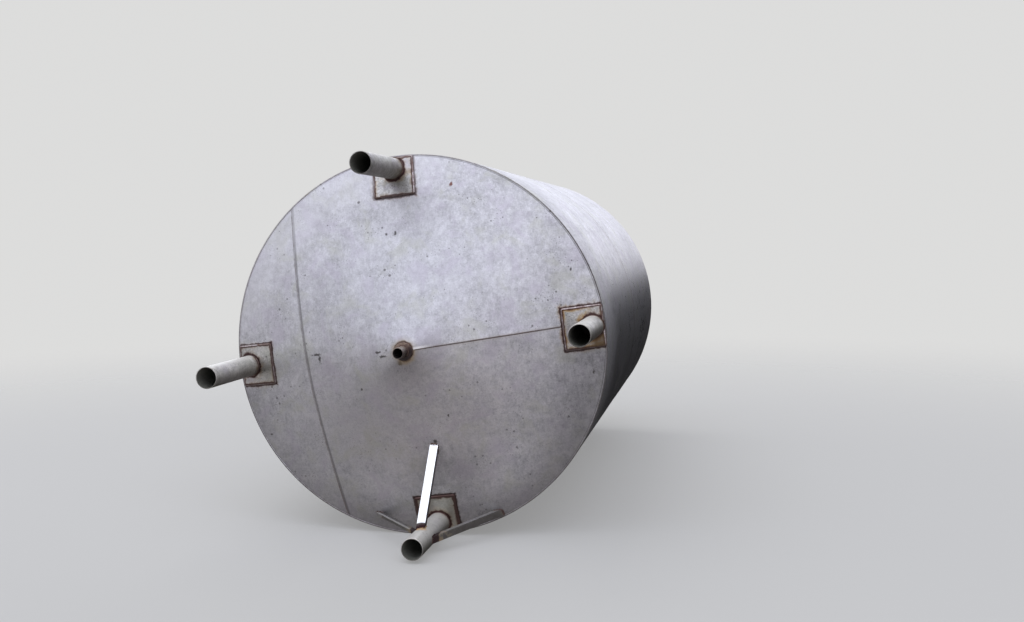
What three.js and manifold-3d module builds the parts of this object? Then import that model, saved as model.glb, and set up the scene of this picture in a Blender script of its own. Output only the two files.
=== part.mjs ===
// A vertical storage tank of welded stainless plate: a round shell between two shallow cones, on
// four open pipe legs. Millimetres, +Z up. The origin is on the floor, on the axis of the tank.
// The legs stand on the X and Y axes, and the one at +Y has three braces.

import * as THREE from "three";
import { mergeVertices } from "three/addons/utils/BufferGeometryUtils.js";
import Module from "manifold-3d";

const wasm = await Module();
wasm.setup();

const degrees = THREE.MathUtils.degToRad;

// Driving dimensions: shell and cones
const SHELL_RADIUS = 1200;
const SHELL_WALL = 5;
const SHELL_BASE = 650;
const COURSE_HEIGHT = 2000;
const LOWER_SEAM = degrees(60);
const UPPER_SEAM = degrees(97.5);
const CONE_SLOPE = degrees(15);
const CONE_WALL = 5;
const CONE_RECESS = 3;
const ROOF_TOP = 2 * SHELL_BASE + 2 * COURSE_HEIGHT;

// The side plate of a cone ends on a line that is straight in the flat plate
const SEAM_DISTANCE = 691;
const BOTTOM_SEAM_AZIMUTH = degrees(177);
const ROOF_SEAM_AZIMUTH = degrees(-60);

// The outlet at the point of each cone
const NOZZLE_RADIUS = 34;
const NOZZLE_WALL = 4;
const NOZZLE_REACH = 110;
const NOZZLE_INNER_REACH = 18;
const COLLAR_RADIUS = 54;
const COLLAR_HEIGHT = 12;

// Legs, their pads and their braces
const LEG_CIRCLE = 1120;
const LEG_RADIUS = 66.5;
const LEG_WALL = 4.5;
const PAD_WIDTH = 250;
const PAD_INNER = 948;
const PAD_OUTER = 1182;
const PAD_WALL = 8;
const BRACE_WALL = 4;
const BRACE_OVERRUN = 70;

// The outer corner of each angle iron runs from a point on the leg to a plan point on the cone.
// The right brace has its corner towards the floor, and the left one has it towards the cone.
const BRACES = {
  right: { size: 40, leg: [66, 1110, 210], cone: [412, 1075], flanges: [[0, 1, 0], [-1, 0, 1]] },
  left: { size: 40, leg: [-40, 1067, 262], cone: [-357, 1028], flanges: [[-0.2, 1, 0], [-0.7, -0.2, -0.6]] },
  inner: { size: 50, leg: [22, 1054, 222], cone: [96, 603], flanges: [[-1, 0, -0.15], [-0.15, 0, 1]] },
};

// Pieces that touch keep this much room, and curves have this many sides
const GAP = 0.3;
const ROUND_SIDES = 96;
const PIPE_SIDES = 36;
const SEAM_STEPS = 32;

// Cutting shapes reach this far out and up
const FAR = 1400;
const BEYOND_FAR = 1700;
const TALL = 1300;

const shellInner = SHELL_RADIUS - SHELL_WALL;
const rise = Math.tan(CONE_SLOPE);
const flatten = Math.cos(CONE_SLOPE);

const steel = {
  shell: { color: 0xc9c9ce, roughness: 0.42, metalness: 0.85 },
  cone: { color: 0xbcbbc0, roughness: 0.48, metalness: 0.8 },
  pad: { color: 0xb0aea9, roughness: 0.45, metalness: 0.8 },
  pipe: { color: 0xa9a59c, roughness: 0.38, metalness: 0.85 },
  brace: { color: 0xc4c2bd, roughness: 0.3, metalness: 0.9 },
  nozzle: { color: 0xa19b90, roughness: 0.4, metalness: 0.85 },
};

function solidOf(geometry) {
  const bare = geometry.clone();
  bare.deleteAttribute("normal");
  bare.deleteAttribute("uv");
  const merged = mergeVertices(bare, 1e-4);
  return new wasm.Manifold(
    new wasm.Mesh({
      numProp: 3,
      vertProperties: new Float32Array(merged.attributes.position.array),
      triVerts: new Uint32Array(merged.index.array),
    }),
  );
}

function meshOf(name, solid, finish) {
  const { vertProperties, triVerts } = solid.getMesh();
  const geometry = new THREE.BufferGeometry();
  geometry.setAttribute("position", new THREE.BufferAttribute(vertProperties, 3));
  geometry.setIndex(new THREE.BufferAttribute(triVerts, 1));
  geometry.computeVertexNormals();
  const mesh = new THREE.Mesh(geometry, new THREE.MeshStandardMaterial(finish));
  mesh.name = name;
  return mesh;
}

// A ring turned about Z from a closed profile of [radius, height] points
function turned(profile, sides) {
  const points = [...profile, profile[0]].map(([r, z]) => new THREE.Vector2(r, z));
  const geometry = new THREE.LatheGeometry(points, sides);
  return solidOf(geometry.rotateX(Math.PI / 2));
}

function prism(outline, bottom, top) {
  const shape = new THREE.Shape(outline);
  const geometry = new THREE.ExtrudeGeometry(shape, { depth: top - bottom, bevelEnabled: false });
  return solidOf(geometry.translate(0, 0, bottom));
}

function polar(radius, angle) {
  return new THREE.Vector2(radius * Math.cos(angle), radius * Math.sin(angle));
}

// Height of the bottom cone's outer face, moved out by a distance square to the face
function coneFace(radius, out) {
  const edge = SHELL_BASE + CONE_RECESS;
  return edge - (shellInner - radius) * rise - out / flatten;
}

// The layer between two distances outside the bottom cone's outer face
function coneLayer(near, far, innerRadius, outerRadius) {
  return turned(
    [
      [innerRadius, coneFace(innerRadius, far)],
      [outerRadius, coneFace(outerRadius, far)],
      [outerRadius, coneFace(outerRadius, near)],
      [innerRadius, coneFace(innerRadius, near)],
    ],
    ROUND_SIDES,
  );
}

// All that lies above a face at this distance outside the bottom cone
function aboveCone(out) {
  const innerRadius = 300;
  return turned(
    [
      [innerRadius, coneFace(innerRadius, out)],
      [FAR, coneFace(FAR, out)],
      [FAR, ROOF_TOP],
      [innerRadius, ROOF_TOP],
    ],
    ROUND_SIDES,
  );
}

// Plan outline of all that lies beyond the plate seam of a cone
function beyondSeam(distance, azimuth) {
  const reach = Math.acos(distance / FAR) / flatten;
  const outline = [];
  for (let i = 0; i <= SEAM_STEPS; i++) {
    const turn = reach * ((2 * i) / SEAM_STEPS - 1);
    outline.push(polar(distance / Math.cos(turn * flatten), azimuth + turn));
  }
  for (let i = SEAM_STEPS - 1; i > 0; i--) {
    const turn = reach * ((2 * i) / SEAM_STEPS - 1);
    outline.push(polar(BEYOND_FAR, azimuth + turn));
  }
  return outline.reverse();
}

// A bottom cone of two plates with its outlet: the roof is the same, turned over
function coneEnd(names, seamAzimuth) {
  const pipeHole = NOZZLE_RADIUS + GAP;
  const whole = coneLayer(-CONE_WALL, 0, pipeHole, shellInner - GAP);
  const sideCut = prism(beyondSeam(SEAM_DISTANCE + GAP / 2, seamAzimuth), 0, TALL);
  const mainCut = prism(beyondSeam(SEAM_DISTANCE - GAP / 2, seamAzimuth), 0, TALL);

  const point = coneFace(0, 0);
  const inner = NOZZLE_RADIUS - NOZZLE_WALL;
  const nozzle = turned(
    [
      [inner, point - NOZZLE_REACH],
      [NOZZLE_RADIUS, point - NOZZLE_REACH],
      [NOZZLE_RADIUS, point + NOZZLE_INNER_REACH],
      [inner, point + NOZZLE_INNER_REACH],
    ],
    PIPE_SIDES,
  );
  const collarFoot = coneFace(pipeHole, 0) - COLLAR_HEIGHT;
  const collar = turned(
    [
      [pipeHole, collarFoot],
      [COLLAR_RADIUS, collarFoot],
      [COLLAR_RADIUS, coneFace(COLLAR_RADIUS, GAP)],
      [pipeHole, coneFace(pipeHole, GAP)],
    ],
    ROUND_SIDES / 2,
  );

  const end = new THREE.Group();
  end.add(
    meshOf(names.main, whole.subtract(mainCut), steel.cone),
    meshOf(names.side, whole.intersect(sideCut), steel.cone),
    meshOf(names.nozzle, nozzle, steel.nozzle),
    meshOf(names.collar, collar, steel.nozzle),
  );
  return end;
}

// Half of a shell course, rolled from one plate
function shellPlate(name, seam, base) {
  const slip = GAP / 2 / SHELL_RADIUS;
  const from = seam + slip;
  const to = seam + Math.PI - slip;
  const steps = ROUND_SIDES / 2;
  const outline = [];
  for (let i = 0; i <= steps; i++) {
    outline.push(polar(SHELL_RADIUS, from + ((to - from) * i) / steps));
  }
  for (let i = steps; i >= 0; i--) {
    outline.push(polar(shellInner, from + ((to - from) * i) / steps));
  }
  const plate = prism(outline, base + GAP / 2, base + COURSE_HEIGHT - GAP / 2);
  return meshOf(name, plate, steel.shell);
}

function shell() {
  const group = new THREE.Group();
  const upperBase = SHELL_BASE + COURSE_HEIGHT;
  group.add(
    shellPlate("shell_lower_plate_1", LOWER_SEAM, SHELL_BASE),
    shellPlate("shell_lower_plate_2", LOWER_SEAM + Math.PI, SHELL_BASE),
    shellPlate("shell_upper_plate_1", UPPER_SEAM, upperBase),
    shellPlate("shell_upper_plate_2", UPPER_SEAM + Math.PI, upperBase),
  );
  return group;
}

// A pad rolled to the cone, and the pipe cut to stand square under it
function leg(side, azimuth) {
  const half = PAD_WIDTH / 2;
  const plan = [
    [PAD_INNER, -half],
    [PAD_OUTER, -half],
    [PAD_OUTER, half],
    [PAD_INNER, half],
  ].map(([x, y]) => new THREE.Vector2(x, y).rotateAround(new THREE.Vector2(), azimuth));
  const underCone = coneLayer(GAP, GAP + PAD_WALL, PAD_INNER - half, shellInner - GAP);
  const pad = underCone.intersect(prism(plan, 0, TALL));

  const bore = LEG_RADIUS - LEG_WALL;
  const blank = turned(
    [
      [bore, 0],
      [LEG_RADIUS, 0],
      [LEG_RADIUS, SHELL_BASE],
      [bore, SHELL_BASE],
    ],
    PIPE_SIDES,
  );
  const centre = polar(LEG_CIRCLE, azimuth);
  const pipe = blank.translate([centre.x, centre.y, 0]).subtract(aboveCone(PAD_WALL + 2 * GAP));
  return [meshOf("leg_pad_" + side, pad, steel.pad), meshOf("leg_pipe_" + side, pipe, steel.pipe)];
}

// An angle iron between the braced leg and the cone. Its flanges lie along their two directions,
// as nearly as square to its length allows.
function brace(side, { size, leg, cone, flanges }) {
  const atLeg = new THREE.Vector3(...leg);
  const atCone = new THREE.Vector3(...cone, coneFace(Math.hypot(...cone), 0));
  const along = atCone.clone().sub(atLeg).normalize();
  const square = ([x, y, z]) => {
    const v = new THREE.Vector3(x, y, z);
    return v.addScaledVector(along, -v.dot(along)).normalize();
  };
  let [x, y] = flanges.map(square);
  y.addScaledVector(x, -y.dot(x)).normalize();
  if (x.clone().cross(y).dot(along) < 0) {
    [x, y] = [y, x];
  }
  const corner = new THREE.Shape(
    [
      [0, 0],
      [size, 0],
      [size, BRACE_WALL],
      [BRACE_WALL, BRACE_WALL],
      [BRACE_WALL, size],
      [0, size],
    ].map(([u, v]) => new THREE.Vector2(u, v)),
  );
  const length = atCone.distanceTo(atLeg) + 2 * BRACE_OVERRUN;
  const geometry = new THREE.ExtrudeGeometry(corner, { depth: length, bevelEnabled: false });
  geometry.translate(0, 0, -BRACE_OVERRUN);
  geometry.applyMatrix4(new THREE.Matrix4().makeBasis(x, y, along).setPosition(atLeg));

  const round = LEG_RADIUS + GAP;
  const around = new THREE.CylinderGeometry(round, round, TALL, PIPE_SIDES);
  around.rotateX(Math.PI / 2).translate(0, LEG_CIRCLE, TALL / 2);
  const iron = solidOf(geometry).subtract(solidOf(around)).subtract(aboveCone(GAP));
  return meshOf("leg_brace_" + side, iron, steel.brace);
}

function roof() {
  const names = {
    main: "roof_main_plate",
    side: "roof_side_plate",
    nozzle: "roof_nozzle",
    collar: "roof_nozzle_collar",
  };
  const end = coneEnd(names, ROOF_SEAM_AZIMUTH);
  end.rotation.x = Math.PI;
  end.position.z = ROOF_TOP;
  return end;
}

function bottom() {
  const names = {
    main: "bottom_main_plate",
    side: "bottom_side_plate",
    nozzle: "drain_nozzle",
    collar: "drain_collar",
  };
  return coneEnd(names, BOTTOM_SEAM_AZIMUTH);
}

const tank = new THREE.Group();
tank.add(
  shell(),
  bottom(),
  roof(),
  ...leg("right", 0),
  ...leg("back", degrees(90)),
  ...leg("left", degrees(180)),
  ...leg("front", degrees(-90)),
  ...Object.entries(BRACES).map(([side, layout]) => brace(side, layout)),
);

export default tank;
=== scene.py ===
"""Looks of a welded stainless storage tank that stands on four pipe legs.

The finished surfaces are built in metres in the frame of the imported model: +Z up, origin on the
floor on the axis of the tank. The camera looks at the cone under the tank from below the floor.
"""

import math
from functools import reduce

import bmesh
import bpy
import numpy as np
from mathutils import Matrix, Vector

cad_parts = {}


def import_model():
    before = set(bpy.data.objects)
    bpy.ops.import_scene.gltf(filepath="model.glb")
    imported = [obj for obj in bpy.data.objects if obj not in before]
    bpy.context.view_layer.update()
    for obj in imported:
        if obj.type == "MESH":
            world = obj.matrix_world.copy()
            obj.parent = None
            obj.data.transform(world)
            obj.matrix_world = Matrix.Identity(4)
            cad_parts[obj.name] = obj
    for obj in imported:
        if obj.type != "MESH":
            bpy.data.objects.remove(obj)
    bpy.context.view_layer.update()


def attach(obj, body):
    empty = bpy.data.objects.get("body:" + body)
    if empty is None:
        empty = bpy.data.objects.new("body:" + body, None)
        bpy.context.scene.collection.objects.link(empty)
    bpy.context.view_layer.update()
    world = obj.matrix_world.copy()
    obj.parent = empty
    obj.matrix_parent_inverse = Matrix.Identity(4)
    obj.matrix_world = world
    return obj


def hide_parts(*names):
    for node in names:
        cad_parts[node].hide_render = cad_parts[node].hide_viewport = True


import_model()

MM = 0.001
TURN = 2 * math.pi
QUARTER = math.pi / 2
EVEN = (1, 1, 1)
ORIGIN = (0, 0, 0)

# Tank, in metres
SHELL_RADIUS = 1.2
SHELL_WALL = 0.005
SHELL_INNER = SHELL_RADIUS - SHELL_WALL
SHELL_BASE = 0.65
COURSE = 2.0
GIRTH = SHELL_BASE + COURSE
SHELL_TOP = SHELL_BASE + 2 * COURSE
ROOF_TOP = SHELL_BASE + SHELL_TOP
LOWER_SEAM = math.radians(60)
UPPER_SEAM = math.radians(97.5)
CONE_SLOPE = math.radians(15)
CONE_COS = math.cos(CONE_SLOPE)
CONE_TAN = math.tan(CONE_SLOPE)
CONE_WALL = 0.005
CONE_RECESS = 0.003
EDGE_BREAK = 0.0016
SEAM_DISTANCE = 0.691
GAP = 0.0003

# Where the chord seam and the closing seam of each cone lie, before the roof is turned over
BOTTOM_SEAMS = (math.radians(177), math.radians(-1.3))
ROOF_SEAMS = (math.radians(-60), math.radians(122))

# Outlet
NOZZLE_RADIUS = 0.034
NOZZLE_WALL = 0.004
NOZZLE_REACH = 0.110
NOZZLE_INNER_REACH = 0.018
COLLAR_RADIUS = 0.054
COLLAR_HEIGHT = 0.012
COLLAR_EDGE = 0.0012

# Legs, pads and braces
LEG_CIRCLE = 1.12
LEG_RADIUS = 0.0665
LEG_WALL = 0.0045
PIPE_EDGE = 0.0006
PAD_HALF = 0.125
PAD_INNER = 0.948
PAD_OUTER = 1.182
PAD_MIDDLE = (PAD_INNER + PAD_OUTER) / 2
PAD_DEPTH = (PAD_OUTER - PAD_INNER) / 2
PAD_WALL = 0.008
PAD_CORNER = 0.006
PAD_EDGE = 0.0012
BRACE_WALL = 0.004
LEG_AZIMUTHS = {"right": 0.0, "back": 90.0, "left": 180.0, "front": -90.0}

# The outer corner of each angle iron runs from the leg to the cone: size, start, end, flange
# directions, all in millimetres as they are measured
BRACES = {
    "right": (40, (66, 1110, 210), (412, 1075), (0, 1, 0), (-1, 0, 1)),
    "left": (40, (-40, 1067, 262), (-357, 1028), (-0.2, 1, 0), (-0.7, -0.2, -0.6)),
    "inner": (50, (22, 1054, 222), (96, 603), (-1, 0, -0.15), (-0.15, 0, 1)),
}

# Waves of the plates in mm along two coordinates, and of the size of a weld along its length and
# its seed: size, turning per unit of each, and start
CONE_WAVES = ((0.30, 19, 7, 1.0), (0.25, -11, 23, 2.1), (0.20, 31, 17, 0.4), (0.15, 41, -29, 4.0))
SHELL_WAVES = ((1.0, 3, 2.1, 0.0), (0.8, 7, -3.7, 1.0), (0.5, 13, 5.3, 2.0), (0.4, 5, 11.0, 0.0))
WELD_WAVES = ((0.5, 61, 1.0, 0.0), (0.3, 143, 2.3, 0.0), (0.2, 317, 4.1, 0.0))

# Camera that took the photograph, with the frame taken as 1024 by 622
CAMERA_PLACE = (1.9808, -0.4573, -6.1029)
CAMERA_RIGHT = (0.97382, 0.12667, 0.18877)
CAMERA_DOWN = (-0.11567, 0.99094, -0.06824)
CAMERA_FORWARD = (-0.19571, 0.04462, 0.97965)
CAMERA_LENS = 39.249
SENSOR_WIDTH = 36.0


# Shapes


def cone_face(radius, out=0.0):
    """Height of the outer face of the bottom cone, moved out by a distance square to it."""
    return SHELL_BASE + CONE_RECESS - (SHELL_INNER - radius) * CONE_TAN - out / CONE_COS


CONE_POINT = cone_face(0.0)
COLLAR_HOLE = NOZZLE_RADIUS + GAP
COLLAR_FOOT = cone_face(COLLAR_HOLE) - COLLAR_HEIGHT


def wrapped(angle):
    return (angle + math.pi) % TURN - math.pi


def smooth_step(low, high, value):
    share = np.clip((value - low) / (high - low), 0.0, 1.0)
    return share * share * (3 - 2 * share)


def waves(sizes, first, second):
    return sum(size * np.sin(a * first + b * second + start) for size, a, b, start in sizes)


def circle(count):
    return np.linspace(0, TURN, count, endpoint=False)


def polar(radius, turn, z=0.0):
    """Points or directions from their distance from the axis, their azimuth and their height."""
    parts = np.broadcast_arrays(radius * np.cos(turn), radius * np.sin(turn), z)
    return np.stack(parts, axis=-1)


def sag(x, y, seams):
    """How far the plate of the bottom cone stands out of a true cone: rolled plate stays a little
    flat beside its closing seam, which leaves a low ridge, and is nowhere quite even."""
    slope, reach = 0.0150, 0.19
    radius = np.hypot(x, y)
    turn = np.abs(wrapped(np.arctan2(y, x) - seams[1]))
    ridge = slope * radius * np.exp(-turn / reach) * (1 - smooth_step(0.62, 0.93, radius))
    return ridge + waves(CONE_WAVES, x, y) * MM * (1 - smooth_step(0.85, 1.12, radius))


def grid_faces(rows, columns, loop=False):
    """Quads of a grid of points that is stored row by row."""
    last = columns if loop else columns - 1
    row, column = np.meshgrid(np.arange(rows - 1), np.arange(last), indexing="ij")
    beside = (column + 1) % columns
    a = row * columns + column
    b = row * columns + beside
    return np.stack([a, b, b + columns, a + columns], axis=-1).reshape(-1, 4)


def ring_solid(loops):
    """Points and faces of a closed ring of loops, where the last loop meets the first."""
    count = len(loops[0])
    faces = grid_faces(len(loops) + 1, count, loop=True) % (len(loops) * count)
    return np.concatenate(loops), faces.tolist()


def capped_solid(loops):
    """Points and faces of a run of loops that is closed by a flat face at both ends."""
    count = len(loops[0])
    last = (len(loops) - 1) * count
    faces = grid_faces(len(loops), count, loop=True).tolist()
    faces += [list(range(count)), [last + k for k in reversed(range(count))]]
    return np.concatenate(loops), faces


def plate_solid(outer, inner, loop=False):
    """Points and faces of a plate between two grids [row, column, xyz], its outer and inner face."""
    rows, columns = outer.shape[:2]
    face = grid_faces(rows, columns, loop)
    shift = rows * columns
    last = shift - columns
    edges = []
    for k in range(columns if loop else columns - 1):
        beside = (k + 1) % columns
        edges += [(beside, k), (last + k, last + beside)]
    if not loop:
        for k in range(0, last, columns):
            edges += [(k, k + columns), (k + 2 * columns - 1, k + columns - 1)]
    faces = face.tolist() + (face[:, ::-1] + shift).tolist()
    faces += [[a, b, b + shift, a + shift] for a, b in edges]
    return np.concatenate([outer.reshape(-1, 3), inner.reshape(-1, 3)]), faces


def merged(parts):
    """One list of points and one of faces from several (points, faces) pairs."""
    points = []
    faces = []
    for part_points, part_faces in parts:
        start = len(points)
        points.extend(np.asarray(part_points, float).tolist())
        faces.extend([[int(i) + start for i in face] for face in part_faces])
    return np.array(points), faces


def as_is(points):
    return np.asarray(points)


def turned_over(points):
    """The roof is the bottom turned over about the X axis."""
    return np.asarray(points) * (1, -1, -1) + (0, 0, ROOF_TOP)


def rotated(degrees):
    """What turns points about the axis of the tank."""
    turn = math.radians(degrees)
    c, s = math.cos(turn), math.sin(turn)
    return lambda points: np.asarray(points) @ np.array([[c, s, 0], [-s, c, 0], [0, 0, 1]])


def add_object(name, data):
    made = bpy.data.objects.new(name, data)
    bpy.context.scene.collection.objects.link(made)
    return made


def add_mesh(name, points, faces, material):
    mesh = bpy.data.meshes.new(name)
    mesh.from_pydata(np.asarray(points, float).tolist(), [], [list(map(int, f)) for f in faces])
    mesh.materials.append(material)
    return add_object(name, mesh)


def add_piece(name, solid, material, node=None, place=as_is):
    """A piece of the tank from its points and faces, which may stand for a node of the frame."""
    points, faces = solid
    piece = add_mesh(name, place(points), faces, material)
    mesh = piece.data
    mesh.validate()
    outward = bmesh.new()
    outward.from_mesh(mesh)
    bmesh.ops.recalc_face_normals(outward, faces=outward.faces)
    outward.to_mesh(mesh)
    outward.free()
    mesh.shade_smooth()
    mesh.set_sharp_from_angle(angle=math.radians(35))
    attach(piece, "root")
    if node:
        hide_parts(node)


def bead(path, across, up, half_width, height, pitch=0.007, closed=False, seed=1.0):
    """Points and faces of a weld bead along a path, with the curved ripples of its pool."""
    width_change, height_change, ripple_size, pool, sunk = 0.12, 0.15, 0.16, 0.8, 0.0006
    path, across, up = (np.asarray(v, float) for v in (path, across, up))
    ends = np.vstack([path, path[:1]]) if closed else path
    steps = np.linalg.norm(np.diff(ends, axis=0), axis=1)
    length = np.concatenate([[0.0], np.cumsum(steps)])
    total = length[-1]
    count = max(8, int(total / (pitch / 4)))
    places = np.linspace(0, total, count, endpoint=not closed)

    def along(values):
        values = np.vstack([values, values[:1]]) if closed else values
        return np.stack([np.interp(places, length, values[:, k]) for k in range(3)], axis=1)

    centre, side, rise = along(path), along(across), along(up)
    side /= np.linalg.norm(side, axis=1)[:, None]
    rise /= np.linalg.norm(rise, axis=1)[:, None]
    profile = np.linspace(-1, 1, 7)
    width = half_width * (1 + width_change * waves(WELD_WAVES, places, seed))[:, None]
    late = places[:, None] + pool * half_width * (1 - profile**2)[None, :]
    ripple = 1 + ripple_size * np.cos(TURN * late / pitch)
    taper = np.ones(count)
    if not closed:
        taper = np.sqrt(np.clip(np.minimum(places, total - places) / half_width, 0.02, 1))
    crown = np.sqrt(np.clip(1 - profile**2, 0, 1))[None, :]
    swell = 1 + height_change * waves(WELD_WAVES, places, seed + 5)[:, None]
    lift = height * crown * ripple * swell * taper[:, None] - sunk
    spread = profile[None, :] * width * taper[:, None] ** 0.5
    points = centre[:, None, :] + side[:, None, :] * spread[..., None] + rise[:, None, :] * lift[..., None]
    rows = np.swapaxes(points, 0, 1).reshape(-1, 3)
    faces = grid_faces(len(profile), count, loop=closed).tolist()
    if not closed:
        faces.append([k * count for k in range(len(profile))])
        faces.append([(k + 1) * count - 1 for k in reversed(range(len(profile)))])
    last = (len(profile) - 1) * count
    for k in range(count if closed else count - 1):
        beside = (k + 1) % count
        faces.append([k, last + k, last + beside, beside])
    return rows, faces


def fillet(path, outward, half_width, height, pitch=0.007, seed=1.0):
    """A weld all round a foot, which faces half outwards and half down."""
    across, rise = outward + (0, 0, 1.0), outward + (0, 0, -1.0)
    return bead(path, across, rise, half_width, height, pitch, closed=True, seed=seed)


def chord_radius(azimuth, seam):
    """Plan radius of the seam between the two plates of a cone, straight in the flat plate."""
    return SEAM_DISTANCE / np.maximum(np.cos(wrapped(azimuth - seam) * CONE_COS), 1e-3)


def cone_point(radius, azimuth, seams):
    """Points on the outer face of the bottom cone."""
    x, y = radius * np.cos(azimuth), radius * np.sin(azimuth)
    return np.stack([x, y, cone_face(radius) - sag(x, y, seams)], axis=-1)


def cone_normal(azimuth):
    """Outward normal of the bottom cone."""
    return polar(math.sin(CONE_SLOPE), azimuth, -CONE_COS)


def cone_plates(prefix, seams, place, material):
    """The two plates of a cone: what lies inside the chord seam, and the side plate beyond it."""
    rim = SHELL_INNER - GAP
    half = math.acos((SEAM_DISTANCE + GAP / 2) / rim) / CONE_COS - 1e-4
    round_outlet = seams[1] + circle(360)
    beyond_chord = seams[0] + np.linspace(-half, half, 150)
    reach = np.minimum(chord_radius(round_outlet, seams[0]) - GAP / 2, rim)
    start = chord_radius(beyond_chord, seams[0]) + GAP / 2
    for name, azimuth, inside, outside, share, loop in (
        ("main", round_outlet, COLLAR_HOLE, reach, np.linspace(0, 1, 46) ** 0.9, True),
        ("side", beyond_chord, start, rim, np.linspace(0, 1, 30), False),
    ):
        node = f"{prefix}_{name}_plate"
        outer = cone_point(inside + (outside - inside) * share[:, None], azimuth, seams)
        solid = plate_solid(outer, outer + (0, 0, CONE_WALL / CONE_COS), loop)
        add_piece(node + "_surface", solid, material, node, place)


def cone_welds(prefix, seams, place, material, brown_material, closing_end):
    """The chord weld, the closing weld and the weld round the rim."""
    half = math.acos(SEAM_DISTANCE / SHELL_INNER) / CONE_COS
    azimuth = seams[0] + np.linspace(-half, half, 240)
    path = cone_point(chord_radius(azimuth, seams[0]), azimuth, seams)
    normal = cone_normal(azimuth)
    chord = bead(path, np.cross(np.gradient(path, axis=0), normal), normal, 0.0045, 0.0016, seed=1.7)

    radius = np.linspace(COLLAR_RADIUS, closing_end, 160)
    azimuth = np.full_like(radius, seams[1])
    path, across = cone_point(radius, azimuth, seams), polar(1.0, azimuth + QUARTER)
    closing = bead(path, across, cone_normal(azimuth), 0.0030, 0.0010, seed=3.1)

    outward = polar(1.0, circle(720))
    rim_radius, lean = SHELL_INNER - 0.0015, -0.42
    path = outward * rim_radius + (0, 0, cone_face(rim_radius) - 0.0008)
    across, rise = outward + (0, 0, lean), outward * lean + (0, 0, -1.0)
    rim = bead(path, across, rise, 0.0040, 0.0014, pitch=0.009, closed=True, seed=0.3)
    welds = (("chord", chord, material), ("rim", rim, material), ("closing", closing, brown_material))
    for name, solid, steel in welds:
        add_piece(f"{prefix}_{name}_weld", solid, steel, place=place)


def shell_plate(name, seam, base, material):
    """Half a course of rolled plate, drawn in a little along its welds."""
    half_gap, end_rows = GAP / 2, 0.09
    girth_draw, girth_reach, seam_draw, seam_reach = 1.6, 0.045, 1.0, 0.05
    wave_size, wave_middle = 0.45, 2.7
    azimuth = seam + np.linspace(half_gap / SHELL_RADIUS, math.pi - half_gap / SHELL_RADIUS, 121)
    ends = end_rows * (1 - np.cos(np.linspace(0, math.pi, 9))) / 2
    ends = np.insert(ends, 1, EDGE_BREAK)
    middle = np.linspace(end_rows, COURSE - end_rows, 26)[1:-1]
    height = np.concatenate([ends, middle, COURSE - ends[::-1]])
    height = base + np.clip(height, half_gap, COURSE - half_gap)
    z, turn = np.meshgrid(height, azimuth, indexing="ij")
    from_girth = np.abs(z - GIRTH)
    from_end = np.minimum(z - SHELL_BASE, SHELL_TOP - z)
    from_seam = np.minimum(turn - seam, seam + math.pi - turn) * SHELL_RADIUS
    inward = girth_draw * np.exp(-((from_girth / girth_reach) ** 2))
    inward += seam_draw * np.exp(-((from_seam / seam_reach) ** 2))
    inward += wave_size * (waves(SHELL_WAVES, turn, z) + wave_middle)
    inward *= MM * smooth_step(0.0, 0.3, from_end)
    inward += EDGE_BREAK * (1 - smooth_step(half_gap, EDGE_BREAK, from_end))
    radius = SHELL_RADIUS - inward
    solid = plate_solid(polar(radius, turn, z), polar(radius - SHELL_WALL, turn, z))
    add_piece(name + "_surface", solid, material, name)


def shell_welds(material):
    """The girth weld and the upright welds of the two courses, brushed almost flush."""
    outward = polar(1.0, circle(720))
    path = outward * (SHELL_RADIUS - 0.0024) + (0, 0, GIRTH)
    up = np.zeros_like(outward) + (0, 0, 1.0)
    girth = bead(path, up, outward, 0.0045, 0.0012, pitch=0.009, closed=True, seed=6.0)
    add_piece("shell_girth_weld", girth, material)
    parts = []
    for seam, base in ((LOWER_SEAM, SHELL_BASE), (UPPER_SEAM, GIRTH)):
        for azimuth in (seam, seam + math.pi):
            turn = np.full(60, azimuth)
            height = np.linspace(base + 0.004, base + COURSE - 0.004, 60)
            path, across = polar(SHELL_RADIUS - 0.0022, turn, height), polar(1.0, turn + QUARTER)
            parts.append(bead(path, across, polar(1.0, turn), 0.0042, 0.0011, seed=azimuth))
    add_piece("shell_upright_welds", merged(parts), material)


def rounded_outline(inset, per_side=14):
    """Plan outline of a pad at azimuth 0, moved in by inset, as an even run of points."""
    corner = PAD_CORNER - inset
    low, high = PAD_INNER + inset + corner, PAD_OUTER - inset - corner
    half = PAD_HALF - inset - corner
    centres = np.array([(high, half), (low, half), (low, -half), (high, -half)])
    share = np.linspace(0, 1, per_side)[1:-1, None]
    points = []
    for k, centre in enumerate(centres):
        arc = centre + polar(corner, np.linspace(k, k + 1, 8) * QUARTER)[:, :2]
        ahead = centres[(k + 1) % 4] + polar(corner, (k + 1) * QUARTER)[:2]
        points += [arc, arc[-1] * (1 - share) + ahead * share]
    return np.concatenate(points)


def on_pad(plan, out):
    return np.column_stack([plan, cone_face(np.hypot(plan[:, 0], plan[:, 1]), out)])


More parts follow.
